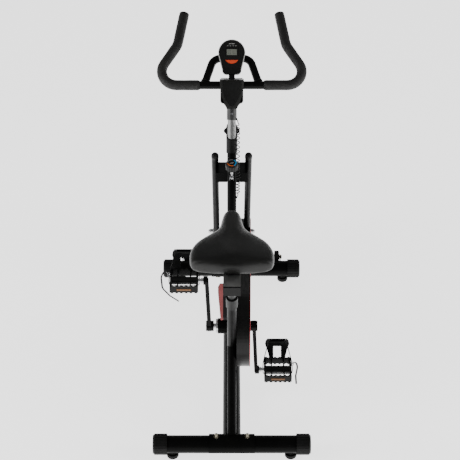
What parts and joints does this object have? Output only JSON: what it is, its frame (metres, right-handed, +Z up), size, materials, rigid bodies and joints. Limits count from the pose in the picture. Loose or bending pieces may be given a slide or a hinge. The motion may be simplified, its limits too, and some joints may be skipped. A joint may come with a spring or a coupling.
{
  "type": "exercise bike",
  "caption": "Upright indoor exercise bike with flywheel, chain guard, toe-cage pedals, padded saddle, curved handlebar and small computer.",
  "frame": {"origin": "on the floor under the middle of the whole bike", "axes": "+Y towards the flywheel at the front, +X towards the rider's right, the chain guard side, +Z up"},
  "size_m": [0.5, 1.069, 1.1498],
  "materials": {
    "frame_paint": "black powder coat, satin",
    "black_plastic": "moulded, fine grain",
    "guard_plastic": "black, low gloss",
    "red_plastic": "dark red",
    "button_plastic": "orange red",
    "rubber": "black",
    "foam": "closed-cell foam, fine pores",
    "cord_jacket": "smooth PVC",
    "strap_web": "woven strap",
    "saddle_vinyl": "black vinyl, fine grain",
    "post_metal": "matt silver, fine texture",
    "track_metal": "ribbed, satin",
    "bright_steel": "zinc plated",
    "bolt_zinc": "yellow zinc plated",
    "flywheel_steel": "turned, clear coat",
    "dark_steel": "oiled",
    "bar_paint": "black, semi gloss",
    "felt": "felt",
    "lcd": "reflective display behind a clear window"
  },
  "bodies": {
    "frame": {"base_tube": "frame_paint", "rear_strut": "frame_paint", "seat_tube": "frame_paint", "upright_tube": "frame_paint", "crank_shell": "frame_paint", "bearing_cups": "bright_steel", "fork_legs": "frame_paint", "fork_caps": "black_plastic", "cross_member": "frame_paint", "flywheel_axle": "bright_steel", "rear_stabilizer": "frame_paint", "front_stabilizer": "frame_paint", "stabilizer_caps": "black_plastic", "stabilizer_brackets": "frame_paint", "base_bolts": "bolt_zinc", "rubber_feet": "rubber", "chain": "dark_steel", "guard_outer": "guard_plastic", "guard_inner": "guard_plastic", "left_cover": "red_plastic", "tube_collars": "black_plastic", "tension_bracket": "bright_steel", "sensor_cord": "cord_jacket"},
    "crank": {"crank_spindle": "bright_steel", "crank_left": "bar_paint", "crank_right": "bar_paint", "chainring": "dark_steel", "pedal_spindles": "bright_steel"},
    "left_pedal": {"pedal_left": "black_plastic", "toe_cage_left": "black_plastic", "strap_left": "strap_web"},
    "right_pedal": {"pedal_right": "black_plastic", "toe_cage_right": "black_plastic", "strap_right": "strap_web"},
    "flywheel": {"flywheel": "flywheel_steel", "sprocket": "dark_steel"},
    "brake": {"brake_arm": "frame_paint", "brake_pad": "felt"},
    "tension_dial": {"tension_knob": "black_plastic"},
    "bars": {"handlebar_post": "post_metal", "handlebar_sleeve": "black_plastic", "stem_cover_rear": "black_plastic", "stem_cover_front": "black_plastic", "handlebar": "bar_paint", "grips": "foam", "bar_plugs": "black_plastic", "computer_case": "black_plastic", "computer_lens": "lcd"},
    "button": {"computer_button": "button_plastic"},
    "bar_clamp": {"handlebar_knob": "black_plastic"},
    "seat": {"seat_post": "post_metal", "seat_track": "track_metal", "track_caps": "black_plastic"},
    "seat_clamp": {"seat_knob": "black_plastic"},
    "carriage": {"saddle_carriage": "black_plastic"},
    "carriage_clamp": {"carriage_knob": "black_plastic"},
    "saddle": {"saddle_base": "black_plastic", "saddle_cushion": "saddle_vinyl"},
    "left_wheel": {"transport_wheel_left": "rubber"},
    "right_wheel": {"transport_wheel_right": "rubber"}
  },
  "joints": [
    {"name": "crank_spin", "type": "hinge", "parent": "frame", "child": "crank", "pos_m": [0, -0.1855, 0.3], "axis": [1, 0, 0], "continuous": true},
    {"name": "left_pedal_spin", "type": "hinge", "parent": "crank", "child": "left_pedal", "pos_m": [-0.151, -0.16184, 0.46835], "axis": [1, 0, 0], "continuous": true},
    {"name": "right_pedal_spin", "type": "hinge", "parent": "crank", "child": "right_pedal", "pos_m": [0.151, -0.20916, 0.13165], "axis": [1, 0, 0], "continuous": true},
    {"name": "flywheel_spin", "type": "hinge", "parent": "frame", "child": "flywheel", "pos_m": [0, 0.3445, 0.285], "axis": [1, 0, 0], "continuous": true},
    {"name": "tension_turn", "type": "hinge", "parent": "frame", "child": "tension_dial", "pos_m": [0, -0.0255, 0.826], "axis": [0, -0.2079, 0.9781], "range_deg": [-540, 0]},
    {"name": "brake_swing", "type": "hinge", "parent": "frame", "child": "brake", "pos_m": [0, 0.1295, 0.108], "axis": [1, 0, 0], "range_deg": [-1.6, 0]},
    {"name": "handlebar_height", "type": "slide", "parent": "frame", "child": "bars", "axis": [0, 0.4321, 0.9018], "range_m": [-0.028, 0.1], "deforming": ["sensor_cord"]},
    {"name": "handlebar_clamp_turn", "type": "hinge", "parent": "frame", "child": "bar_clamp", "pos_m": [0, 0.08499, 0.86455], "axis": [0, 0.9018, -0.4321], "range_deg": [0, 360]},
    {"name": "button_press", "type": "slide", "parent": "bars", "child": "button", "axis": [0, 0.8018, -0.5976], "range_m": [0, 0.0015], "stiffness_N_per_m": 400},
    {"name": "seat_height", "type": "slide", "parent": "frame", "child": "seat", "axis": [0, -0.3469, 0.9379], "range_m": [-0.09, 0.11]},
    {"name": "seat_clamp_turn", "type": "hinge", "parent": "frame", "child": "seat_clamp", "pos_m": [0, -0.35517, 0.55323], "axis": [0, 0.9379, 0.3469], "range_deg": [0, 360]},
    {"name": "saddle_slide", "type": "slide", "parent": "seat", "child": "carriage", "axis": [0, 1, 0], "range_m": [-0.04, 0.04]},
    {"name": "carriage_clamp_turn", "type": "hinge", "parent": "carriage", "child": "carriage_clamp", "pos_m": [0.025, -0.3755, 0.726], "axis": [1, 0, 0], "range_deg": [0, 360]},
    {"name": "saddle_tilt", "type": "hinge", "parent": "carriage", "child": "saddle", "pos_m": [0, -0.3755, 0.754], "axis": [1, 0, 0], "range_deg": [-6, 6]},
    {"name": "left_wheel_spin", "type": "hinge", "parent": "frame", "child": "left_wheel", "pos_m": [-0.167, 0.4825, 0.064], "axis": [1, 0, 0], "continuous": true},
    {"name": "right_wheel_spin", "type": "hinge", "parent": "frame", "child": "right_wheel", "pos_m": [0.167, 0.4825, 0.064], "axis": [1, 0, 0], "continuous": true}
  ],
  "couplings": [
    {"joint": "flywheel_spin", "follows": "crank_spin", "ratio": 2.9333},
    {"joint": "brake_swing", "follows": "tension_turn", "ratio": 0.0027778}
  ]
}
